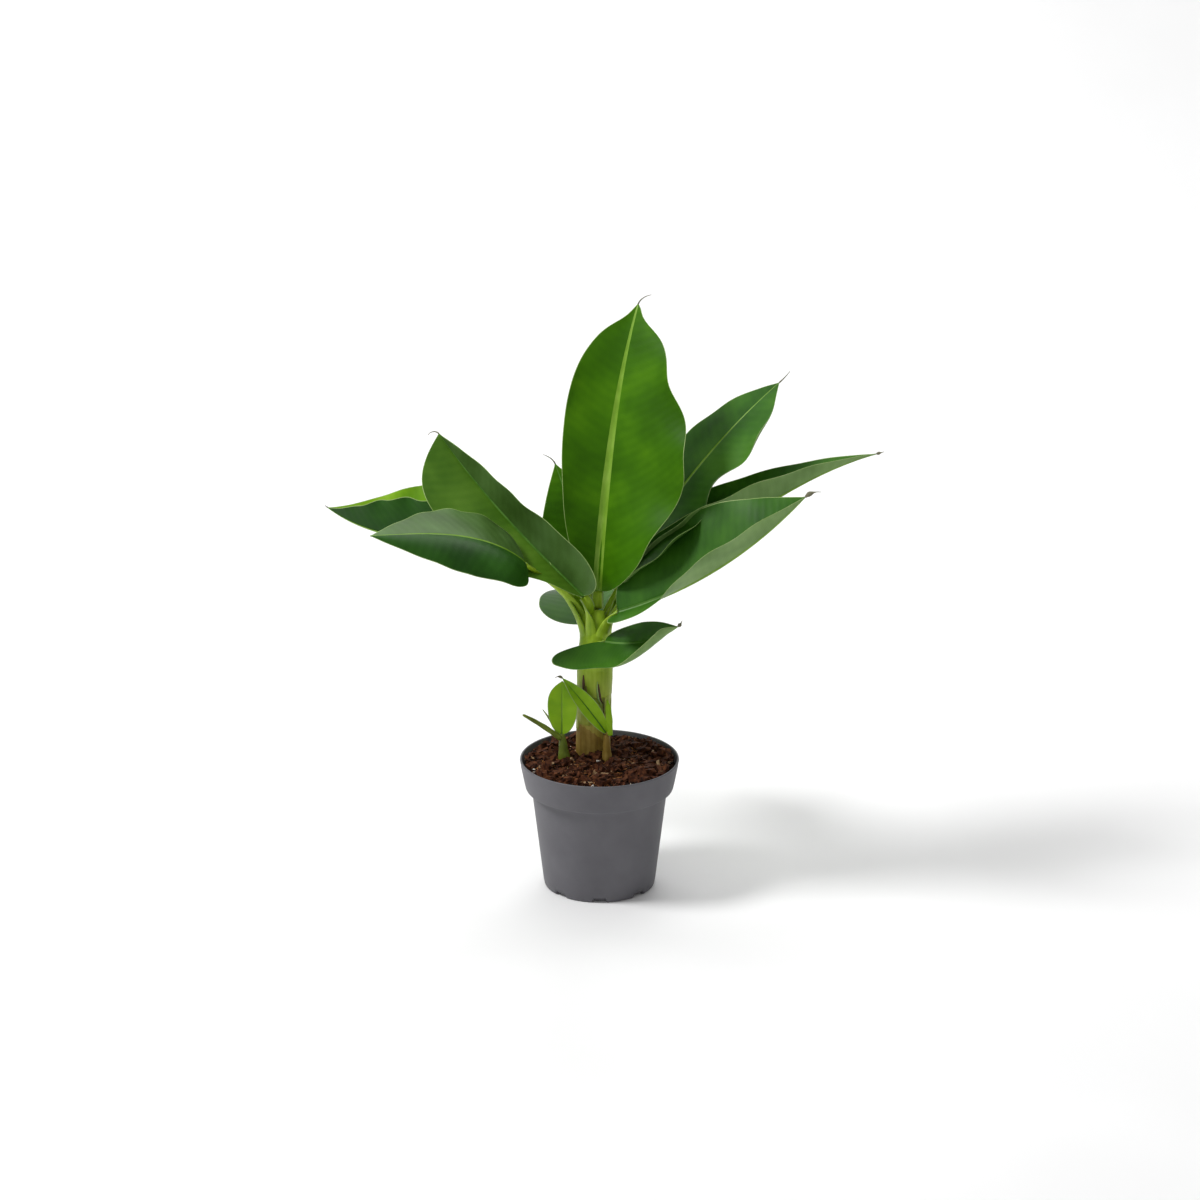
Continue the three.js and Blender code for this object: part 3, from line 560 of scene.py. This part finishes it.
# leaf stalk: wraps the stem as a sheath low down and closes to a channelled petiole at the blade
def makePetiole(name, given):
    blade = dict(bladeDefaults)
    blade.update(given)
    low = given["petiole"]["z"]
    end = given["petiole"]["end"]
    over = given["petiole"]["over"]
    foot = stemCentre(low)
    target = np.array(given["start"], float)
    along, _, face = frameAt(blade, np.array([0.0]))
    along, face = along[0], face[0]
    bearing = math.atan2(target[1] - foot[1], target[0] - foot[0])
    if name == "petiole_centre":
        bearing = math.radians(250)
    rows, columns = petioleRows, petioleColumns
    split = (sheathTop - low) / (sheathTop - low + np.linalg.norm(target - stemCentre(186)))
    split = min(max(split, 0.25), 0.7)
    outward = np.array([math.cos(bearing), math.sin(bearing), 0])
    top = stemCentre(partingLow) + partingOut * outward
    outer, inner = [], []
    pull = np.linalg.norm(target - top)
    for i in range(rows):
        s = i / (rows - 1)
        if s < split:
            u = s / split
            p = stemCentre(low + (partingLow - low) * u) + partingOut * u ** 2 * outward
            t = np.array([0, 0, 1.0])
        else:
            u = (s - split) / (1 - split)
            up = np.array([0, 0, 1.0])
            p = ((2 * u ** 3 - 3 * u ** 2 + 1) * top + (u ** 3 - 2 * u ** 2 + u) * pull * 0.9 * up
                 + (3 * u ** 2 - 2 * u ** 3) * target + (u ** 3 - u ** 2) * pull * 0.8 * along)
            t = ((6 * u ** 2 - 6 * u) * top + (3 * u ** 2 - 4 * u + 1) * pull * 0.9 * up
                 + (6 * u - 6 * u ** 2) * target + (3 * u ** 2 - 2 * u) * pull * 0.8 * along)
            t = t / np.linalg.norm(t)
            p = p + np.array(given["petiole"].get("bow", (0, 0, 0))) * math.sin(math.pi * u) ** 2
        away = outward - t * (outward @ t)
        if s >= split:
            turn = smooth(0.3, 1.0, np.array(u))
            away = away / np.linalg.norm(away) * (1 - turn) - face * turn
            away = away - t * (away @ t)
        away = away / np.linalg.norm(away)
        side = np.cross(t, away)
        shrink = smooth(0.22, 1.0, np.array(s))
        level = low + (partingLow - low) * min(s / split, 1)
        radius = (stemWidth(level) + over) * (1 - shrink) + end * shrink
        wrap = math.radians(np.interp(s, [0, split, 0.8, 1], [118, 104, 92, 84]))
        wall = np.interp(s, [0, 0.15, 1], [0.8, 1.8, end * 0.62])
        push = radius * 0.25 * shrink
        outerRow, innerRow = [], []
        for j in range(columns):
            phi = wrap * (2 * j / (columns - 1) - 1)
            edge = 1 - 0.6 * abs(phi / wrap) ** 6
            ring = math.cos(phi) * away + math.sin(phi) * side
            outerRow.append(p - away * push + ring * radius)
            innerRow.append(p - away * push + ring * (radius - wall * edge))
        outer.append(outerRow)
        inner.append(innerRow)
    outer, inner = np.array(outer), np.array(inner)
    ridges = 0.07 * np.sin(np.linspace(0, 22 * np.pi, columns))[None, :, None]
    outer = outer + gridNormals(outer) * -ridges
    verts = np.concatenate([outer.reshape(-1, 3), inner.reshape(-1, 3)]) * mm
    faces, kinds = [], []
    shift = rows * columns
    for i in range(rows - 1):
        for j in range(columns - 1):
            a, b = i * columns + j, i * columns + j + 1
            c, d = b + columns, a + columns
            faces.append((a, b, c, d))
            faces.append((shift + a, shift + d, shift + c, shift + b))
            kinds += [0, 0]
        a, d = i * columns, (i + 1) * columns
        faces.append((a, d, shift + d, shift + a))
        b, c = a + columns - 1, d + columns - 1
        faces.append((c, b, shift + b, shift + c))
        kinds += [1, 1]
    for j in range(columns - 1):
        faces.append((j + 1, j, shift + j, shift + j + 1))
        a = (rows - 1) * columns + j
        faces.append((a, a + 1, shift + a + 1, shift + a))
        kinds += [1, 1]
    obj = joinMesh(name, verts, faces, [petioleSkin, marginSkin], kinds)
    settle(obj, "petiole_tissue", name)


for leafName, sizes in leaves.items():
    makePetiole(leafName.replace("leaf", "petiole"), sizes)
print("petioles done")


# stem body with overlapping sheaths: each sheath is a shell with a slanting upper end
def makeStem():
    sheaths = [
        {"name": "pseudostem", "top": sheathTop, "slant": 0, "bearing": 0, "over": 0.0, "skin": stemSkin,
         "wrap": 180},
        {"name": "stem_sheath_middle", "top": 160, "slant": 26, "bearing": 215, "over": 0.4, "skin": stemSkin,
         "wrap": 150},
        {"name": "stem_sheath_old", "top": 128, "slant": 30, "bearing": 225, "over": 0.7, "skin": oldSheath,
         "wrap": 150},
    ]
    for sheath in sheaths:
        rows, columns = 60, 73
        verts = []
        closed = sheath["wrap"] == 180
        for layer in (0, 1):
            for i in range(rows):
                for j in range(columns):
                    turn = 2 * j / (columns - 1) - 1
                    phi = math.radians(sheath["wrap"]) * turn
                    bearing = math.radians(sheath["bearing"]) + phi
                    high = sheath["top"] - sheath["slant"] * abs(turn) ** 1.5
                    z = stemFoot + (high - stemFoot) * i / (rows - 1)
                    thin = 0 if layer == 0 else -0.9
                    edge = sheath["over"] * (1 - abs(turn) ** 8) if not closed else 0
                    fade = 1 - 0.6 * smooth(0.9, 1.0, np.array(i / (rows - 1)))
                    ridge = 0.10 * math.sin(bearing * 31 + 0.02 * z) + 0.05 * math.sin(bearing * 67)
                    radius = stemWidth(z) + edge * fade + ridge + thin
                    c = stemCentre(z)
                    verts.append((c + radius * np.array([math.cos(bearing), math.sin(bearing), 0])) * mm)
        faces = []
        shift = rows * columns
        for i in range(rows - 1):
            for j in range(columns - 1):
                a, b = i * columns + j, i * columns + j + 1
                c, d = b + columns, a + columns
                faces.append((a, b, c, d))
                if not closed:
                    faces.append((shift + a, shift + d, shift + c, shift + b))
        if closed:
            top = (rows - 1) * columns
            faces.append(tuple(top + j for j in range(columns - 1)))
            verts = verts[:shift]
        else:
            for i in range(rows - 1):
                a, d = i * columns, (i + 1) * columns
                faces.append((a, d, shift + d, shift + a))
                b, c = a + columns - 1, d + columns - 1
                faces.append((c, b, shift + b, shift + c))
            top = (rows - 1) * columns
            for j in range(columns - 1):
                faces.append((top + j, top + j + 1, shift + top + j + 1, shift + top + j))
        obj = joinMesh(sheath["name"], verts, faces, [sheath["skin"]])
        if closed:
            settle(obj, "stem_tissue", "pseudostem")
        else:
            settle(obj, "stem_tissue")


makeStem()


# dead strips lying on the stem, and a dark strip of painted shade inside the slit, each a low ridge of four
# points across
stripRows = 14
stripLift = 0.5


def makeStrip(name, points, widths, skin, slot):
    points = np.array(points, float)
    t = np.linspace(0, 1, stripRows)
    source = np.linspace(0, 1, len(points))
    line = np.stack([np.interp(t, source, points[:, c]) for c in range(3)], -1)
    wide = np.interp(t, np.linspace(0, 1, len(widths)), widths)
    ahead = np.gradient(line, axis=0)
    ahead /= np.linalg.norm(ahead, axis=1, keepdims=True)
    centre = np.array([stemCentre(p[2]) for p in line])
    out = line - centre
    out[:, 2] = 0
    out /= np.linalg.norm(out, axis=1, keepdims=True)
    side = np.cross(ahead, out)
    verts, faces = [], []
    for i in range(stripRows):
        for place, height in ((-1, 0), (-0.4, stripLift), (0.4, stripLift), (1, 0)):
            verts.append((line[i] + side[i] * wide[i] * place + out[i] * height) * mm)
    for i in range(stripRows - 1):
        for j in range(3):
            a = i * 4 + j
            faces.append((a, a + 1, a + 5, a + 4))
    faces.append((0, 3, 2, 1))
    faces.append(tuple(4 * (stripRows - 1) + j for j in range(4)))
    for i in range(stripRows - 1):
        faces.append((i * 4, i * 4 + 4, i * 4 + 7, i * 4 + 3))
    obj = joinMesh(name, verts, faces, [skin])
    settle(obj, slot)


def onStem(bearing, z, out=0.2):
    c = stemCentre(z)
    r = stemWidth(z) + 1.3 + out
    return c + r * np.array([math.cos(math.radians(bearing)), math.sin(math.radians(bearing)), 0])


strips = {
    "stem_scar_left": {"line": [(228, 168), (230, 161), (231, 153)], "wide": [0.6, 1.5, 0.4],
                       "skin": deadSheathAndSlitShade},
    "stem_scar_left_low": {"line": [(240, 160), (241, 155), (242, 150)], "wide": [0.3, 0.8, 0.3],
                           "skin": deadSheathAndSlitShade},
    # dark dead-sheath strip in the slit: painted shade
    "stem_slit_painted_shade": {"line": [(281, 162), (283, 157), (288, 151), (298, 146)], "wide": [0.3, 0.9, 1.0, 0.3],
                  "skin": deadSheathAndSlitShade},
    "stem_slit_lip": {"line": [(277, 164), (278, 157), (283, 150), (294, 144)], "wide": [0.3, 0.8, 0.8, 0.3],
                      "skin": marginSkin},
    "stem_sheath_edge": {"line": [(302, 150), (303, 130), (305, 108)], "wide": [0.3, 0.5, 0.4],
                         "skin": deadSheathAndSlitShade},
}
for stripName, sizes in strips.items():
    line = [onStem(*place) for place in sizes["line"]]
    makeStrip(stripName, line, sizes["wide"], sizes["skin"], "stem_tissue")
print("stem done")

suckerBlades = {
    "sucker_left_blade": {
        "start": (-28.5, -2, 122), "az": 80, "rise": (88, 88, 84), "length": 42, "thread": 0, "rib": 0.8,
        "ribSkin": ribSkin,
        "left": {"half": 11, "round": 0.55, "wide": 0.5, "taper": 3, "fold": (20, 5, 0), "skin": "tender"},
        "right": {"half": 13, "round": 0.55, "wide": 0.5, "taper": 3, "fold": (20, 15, 10), "skin": "tender"},
    },
    "sucker_right_blade": {
        "start": (5, -5, 124), "az": 178, "rise": (56, 53, 50), "length": 55, "roll": 72, "thread": 6,
        "threadDrop": 90, "bud": 0.7, "rib": 0.8,
        "left": {"half": 7, "round": 0.45, "wide": 0.4, "taper": 2, "fold": (40, 30, 20), "skin": "tender"},
        "right": {"half": 9, "round": 0.45, "wide": 0.4, "taper": 2, "fold": (40, 30, 20), "skin": "tender"},
    },
}
skins["tender"] = suckerSkin
for bladeName, sizes in suckerBlades.items():
    makeBlade(bladeName, sizes, "sucker_leaf")

shoots = {
    "sucker_left_stem": {"from": (-26, -3, 92), "to": (-28.3, -2, 122), "radii": (5, 4.7, 3.4, 2.2), "lean": 0,
                         "skin": suckerStem},
    "sucker_left_spike_long": {"from": (-29.5, -3.5, 119), "to": (-58, -6, 139), "radii": (2.2, 2, 1.7, 1.0),
                               "lean": 1, "skin": suckerStem},
    "sucker_left_spike_short": {"from": (-31, -1, 121), "to": (-43, 0, 141), "radii": (1.4, 1.1, 0.7, 0.3),
                                "lean": 1, "skin": suckerStem},
    "sucker_right_stem": {"from": (6, -5, 92), "to": (5.2, -5, 123), "radii": (4.6, 4, 3, 2), "lean": 0,
                          "skin": oldSheath},
    "sucker_right_roll": {"from": (8.2, -7, 123), "to": (6, -6, 151), "radii": (1.8, 2.6, 2.4, 0.6),
                          "lean": 1.5, "skin": suckerSkin},
}
for shootName, sizes in shoots.items():
    t = np.linspace(0, 1, 26)
    line = np.array(sizes["from"])[None, :] * (1 - t)[:, None] + np.array(sizes["to"])[None, :] * t[:, None]
    line[:, 2] += sizes["lean"] * 4 * t * (1 - t)
    radii = np.interp(t, np.linspace(0, 1, 4), sizes["radii"])
    radii = radii * (1 + 0.04 * np.sin(t * 19))
    radii[-1] = radii[-1] * 0.6
    verts, faces = tube(line, radii, 20, 0.95)
    obj = joinMesh(shootName, verts * mm, faces, [sizes["skin"]])
    layer = obj.data.uv_layers.new(name="VeinMap")
    loops = np.zeros(len(obj.data.loops), int)
    obj.data.loops.foreach_get("vertex_index", loops)
    uv = np.stack([verts[:, 2] / 100, np.zeros(len(verts))], -1)
    layer.data.foreach_set("uv", uv[loops].reshape(-1))
    settle(obj, "sucker_tissue", shootName)
print("suckers done")

# grey moulded nursery pot
potSizes = {"height": 102, "foot": 42.4, "bodyTop": 51.6, "bodyHigh": 77, "lipLow": 56.4, "lipHigh": 79,
            "rim": 60.5, "notches": 8, "notchWide": 11, "notchHigh": 3.4, "notchTop": 3.6, "segments": 240}
potPlastic, tree = newMaterial("recycled polypropylene, moulded, dull grey")
place = add(tree, "ShaderNodeTexCoord")
cloud = add(tree, "ShaderNodeTexNoise", {"Scale": 30.0, "Detail": 4.0}, {"Vector": place.outputs["Object"]})
grain = add(tree, "ShaderNodeTexNoise", {"Scale": 1600.0, "Detail": 2.0}, {"Vector": place.outputs["Object"]})
potColour = add(tree, "ShaderNodeValToRGB", {}, {"Fac": cloud.outputs["Fac"]},
                [(0.3, "58575c"), (0.5, "5e5d62"), (0.7, "646368")]).outputs["Color"]
potRough = add(tree, "ShaderNodeMapRange", {"To Min": 0.46, "To Max": 0.62}, {"Value": cloud.outputs["Fac"]})
finishSurface(tree, potColour, potRough.outputs["Result"], grain.outputs["Fac"], 0.05)


def makePot():
    s = potSizes
    slope = (s["bodyTop"] - s["foot"]) / s["bodyHigh"]
    profile = [(0, 0.4), (s["foot"] - 12, 0.4), (s["foot"] - 7, 0.4), (s["foot"] - 6.5, 0), (s["foot"] - 3, 0),
               (s["foot"] - 1.2, 0.1), (s["foot"] - 0.4, 0.5), (s["foot"], 1.4), (s["foot"] + slope * 4, 4)]
    for z in np.linspace(8, s["bodyHigh"] - 3, 12):
        profile.append((s["foot"] + slope * z, z))
    profile += [(s["bodyTop"] - 0.1, s["bodyHigh"] - 1), (s["bodyTop"] + 0.5, s["bodyHigh"] + 0.4),
                (s["lipLow"] - 1.2, s["lipHigh"] - 0.5), (s["lipLow"] - 0.3, s["lipHigh"] - 0.1),
                (s["lipLow"], s["lipHigh"] + 0.6)]
    for part in (0.2, 0.4, 0.6, 0.8):
        profile.append((s["lipLow"] + (s["rim"] - s["lipLow"]) * part,
                        s["lipHigh"] + (s["height"] - 2 - s["lipHigh"]) * part))
    profile += [(s["rim"] - 0.2, s["height"] - 1.6), (s["rim"], s["height"] - 1),
                (s["rim"] - 0.2, s["height"] - 0.3), (s["rim"] - 0.8, s["height"]),
                (s["rim"] - 1.4, s["height"] - 0.3), (s["rim"] - 1.7, s["height"] - 1.2),
                (s["lipLow"] - 1.6, s["lipHigh"] + 1.6), (s["bodyTop"] - 1.6, s["bodyHigh"] + 1.4),
                (s["foot"] - 1.2, 2.2), (0, 2.0)]
    segments = s["segments"]
    verts, faces = [], []
    halfNotch = s["notchWide"] / 2 / s["foot"]
    for r, z in profile:
        for k in range(segments):
            turn = 2 * math.pi * k / segments
            lift = 0.0
            if r > s["foot"] - 8 and z < 2.0 and r < s["foot"] + 0.3:
                pitch = 2 * math.pi / s["notches"]
                nearest = (turn + math.pi / 2) % pitch
                off = min(nearest, pitch - nearest)
                lift = s["notchHigh"] * (1 - float(smooth(halfNotch * 0.85, halfNotch * 1.05, np.array(off))))
            inset = 0.7 if lift > 1 and r > s["foot"] - 2 else 0.0
            high = max(z, min(z + lift, s["notchTop"]))
            verts.append((math.cos(turn) * (r - inset) * mm, math.sin(turn) * (r - inset) * mm, high * mm))
    rows = len(profile)
    for i in range(rows - 1):
        for k in range(segments):
            n = (k + 1) % segments
            a, b = i * segments + k, i * segments + n
            c, d = (i + 1) * segments + n, (i + 1) * segments + k
            faces.append((a, b, c, d))
    obj = joinMesh("pot", verts, faces, [potPlastic])
    settle(obj, "pot_plastic", "pot")


makePot()
print("pot done")

# moist mix of peat, coir and bark
soilCrumb = grainSkin("potting mix, moist peat crumb", "0a0503", "180c07", "341e12", 0.92, 420.0, 0.8)
coirFibre = grainSkin("coir fibre, damp brown", "4a2412", "84502c", "b8824e", 0.8, 300.0, 0.15)
barkChip = grainSkin("bark chips, brown and splintery", "22100a", "442416", "70442a", 0.85, 260.0, 0.3)
paleChip = grainSkin("wood splinters, pale tan", "7a5c40", "a08060", "c4a888", 0.8, 300.0, 0.2)
perliteBead = grainSkin("perlite beads, chalky white", "c2beb4", "dedad0", "f2f0ea", 0.9, 500.0, 0.25)

soilEdge, soilMiddle, soilRadius = 97.0, 101.5, 57.2
soilSkirt = 84.0
stemKeepOut = 12.5


def soilHeight(x, y):
    r = np.hypot(x, y) / soilRadius
    h = soilMiddle - (soilMiddle - soilEdge) * np.clip(r, 0, 1) ** 1.6
    h = h + 1.2 * np.sin(x * 0.21 + 1) * np.cos(y * 0.17) + 0.7 * np.sin(x * 0.53 + y * 0.41)
    return h - 3.5 * np.exp(-((x - 34) ** 2 + (y - 6) ** 2) / 160)


def makeSoil():
    rings, segments = 70, 180
    verts, faces = [], []
    for i in range(rings + 1):
        for k in range(segments):
            turn = 2 * math.pi * k / segments
            r = soilRadius * i / rings
            x, y = r * math.cos(turn), r * math.sin(turn)
            verts.append([x, y, float(soilHeight(x, y))])
    verts = np.array(verts)
    verts[:, 2] += rng.normal(0, 0.45, len(verts))
    verts[:segments] = verts[:segments].mean(0)
    skirt = [(v[0] * 0.97, v[1] * 0.97, soilSkirt) for v in verts[-segments:]]
    verts = np.concatenate([verts, np.array(skirt)])
    for i in range(rings + 1):
        for k in range(segments):
            n = (k + 1) % segments
            a, b = i * segments + k, i * segments + n
            faces.append((a, a + segments, b + segments, b))
    base = (rings + 1) * segments
    faces.append(tuple(base + k for k in range(segments)))
    obj = joinMesh("soil", verts * mm, faces, [soilCrumb])
    settle(obj, "potting_mix", "soil")


def spotOnSoil(limit=0.97):
    while True:
        r = soilRadius * limit * math.sqrt(rng.random())
        turn = 2 * math.pi * rng.random()
        x, y = r * math.cos(turn), r * math.sin(turn)
        if math.hypot(x - stemAxis[0][1], y - stemAxis[0][2]) > stemKeepOut:
            return x, y


# many small bits of one kind, joined into one mesh
def scatterBits(name, count, low, high, stretch, skin, sink=0.4):
    box = np.array([(x, y, z) for z in (-1, 1) for y in (-1, 1) for x in (-1, 1)], float)
    boxFaces = [(0, 2, 3, 1), (4, 5, 7, 6), (0, 1, 5, 4), (2, 6, 7, 3), (0, 4, 6, 2), (1, 3, 7, 5)]
    verts, faces = [], []
    for _ in range(count):
        x, y = spotOnSoil()
        size = low + (high - low) * rng.random() ** 2
        bit = box * (1 + 0.35 * rng.normal(size=box.shape) * 0.6)
        bit = bit * np.array([stretch, 1.0, 0.5 + 0.5 * rng.random()]) * size / 2
        spin, tilt = rng.random() * 2 * math.pi, rng.normal(0, 0.45)
        cs, sn = math.cos(spin), math.sin(spin)
        ct, st = math.cos(tilt), math.sin(tilt)
        turned = bit @ np.array([[ct, 0, -st], [0, 1, 0], [st, 0, ct]])
        turned = turned @ np.array([[cs, sn, 0], [-sn, cs, 0], [0, 0, 1]])
        turned = turned + np.array([x, y, float(soilHeight(x, y)) + size * sink])
        reach = np.hypot(turned[:, 0], turned[:, 1]).max()
        if reach > soilRadius:
            turned[:, :2] *= soilRadius / reach
        start = len(verts)
        verts += list(turned * mm)
        faces += [tuple(start + f for f in face) for face in boxFaces]
    obj = joinMesh(name, verts, faces, [skin], smooth=False)
    settle(obj, "potting_mix")


# bent thin fibres lying on and in the mix
def scatterFibres(name, count, shortest, longest, thick, skin):
    verts, faces = [], []
    for _ in range(count):
        x, y = spotOnSoil(0.94)
        length = shortest + (longest - shortest) * rng.random() ** 2
        heading = rng.random() * 2 * math.pi
        bend = rng.normal(0, 1.0)
        hump = rng.random() * 0.10 * length
        steps = 6
        points = []
        for i in range(steps):
            u = i / (steps - 1)
            a = heading + bend * u
            points.append([x, y, float(soilHeight(x, y)) + 0.5 + hump * 4 * u * (1 - u) + rng.normal(0, 0.15)])
            x += math.cos(a) * length / (steps - 1)
            y += math.sin(a) * length / (steps - 1)
        reach = max(math.hypot(p[0], p[1]) for p in points)
        if reach > soilRadius:
            continue
        width = thick * (0.5 + rng.random())
        tv, tf = tube(points, [width, width * 1.1, width, width * 0.9, width * 0.8, width * 0.4], 4)
        start = len(verts)
        verts += list(tv * mm)
        faces += [tuple(start + f for f in face) for face in tf]
    obj = joinMesh(name, verts, faces, [skin])
    settle(obj, "potting_mix")


makeSoil()
scatterBits("soil_crumbs", 5600, 0.6, 2.4, 1.2, soilCrumb)
scatterBits("soil_bark_chips", 900, 1.2, 4.6, 2.2, barkChip, 0.55)
scatterBits("soil_pale_chips", 220, 0.6, 2.4, 2.4, paleChip, 0.7)
scatterBits("soil_perlite", 90, 0.7, 2.3, 1.0, perliteBead, 0.7)
scatterFibres("soil_coir_fibres", 3400, 5, 20, 0.27, coirFibre)
scatterFibres("soil_pale_fibres", 340, 4, 14, 0.24, paleChip)
print("soil done")

# pale floor and soft studio light
floorPaint, tree = newMaterial("studio floor, matt white paper")
place = add(tree, "ShaderNodeTexCoord")
cloud = add(tree, "ShaderNodeTexNoise", {"Scale": 4.0}, {"Vector": place.outputs["Object"]})
floorColour = add(tree, "ShaderNodeValToRGB", {}, {"Fac": cloud.outputs["Fac"]},
                  [(0.0, "f6f6f6"), (1.0, "f8f8f8")]).outputs["Color"]
finishSurface(tree, floorColour, cloud.outputs["Fac"], cloud.outputs["Fac"], 0.01)
floorHalf, wallBack, wallHigh = 4.0, 2.5, 4.0
sweep, sweepSteps = 1.2, 12
rowsY = [(-floorHalf, 0.0), (wallBack - sweep, 0.0)]
for k in range(1, sweepSteps + 1):
    turn = math.pi / 2 * k / sweepSteps
    rowsY.append((wallBack - sweep + sweep * math.sin(turn), sweep - sweep * math.cos(turn)))
rowsY.append((wallBack, wallHigh))
floorVerts = [(x, y, z) for y, z in rowsY for x in (-floorHalf, floorHalf)]
floorFaces = [(2 * i, 2 * i + 1, 2 * i + 3, 2 * i + 2) for i in range(len(rowsY) - 1)]
floor = joinMesh("studio_floor", floorVerts, floorFaces, [floorPaint])


def areaLight(name, place, aim, size, power):
    data = bpy.data.lights.new(name, "AREA")
    data.shape = "DISK"
    data.size = size
    data.energy = power
    obj = bpy.data.objects.new(name, data)
    bpy.context.scene.collection.objects.link(obj)
    way = np.array(aim, float) - np.array(place, float)
    obj.location = place
    obj.rotation_euler = mathutils.Vector(way).to_track_quat("-Z", "Y").to_euler()


areaLight("key_light", (-1.7, -0.3, 2.3), (0, 0, 0.2), 0.8, 54)
areaLight("top_light", (-0.2, 0.3, 2.4), (0, 0, 0.2), 1.6, 4)
areaLight("back_light", (0.5, 1.6, 1.5), (0, 0, 0.25), 1.2, 5)
areaLight("paper_light", (0, 1.3, 3.0), (0, 2.5, 1.0), 1.2, 20)

world = bpy.data.worlds.new("studio_air")
bpy.context.scene.world = world
world.use_nodes = True
world.node_tree.nodes["Background"].inputs["Color"].default_value = (1, 1, 1, 1)
world.node_tree.nodes["Background"].inputs["Strength"].default_value = 0.4
bpy.context.scene.view_settings.view_transform = "Standard"

# camera a little above the crown, straight on
cameraRise = math.radians(19.2)
cameraFar = 3.0
aim = (0.0004, 0.0, 0.2288)
cameraData = bpy.data.cameras.new("camera")
cameraData.lens = 120
cameraData.sensor_width = 36
camera = bpy.data.objects.new("camera", cameraData)
bpy.context.scene.collection.objects.link(camera)
camera.location = (aim[0], aim[1] - cameraFar * math.cos(cameraRise), aim[2] + cameraFar * math.sin(cameraRise))
camera.rotation_euler = (math.pi / 2 - cameraRise, 0, 0)
bpy.context.scene.camera = camera
print("stage done")
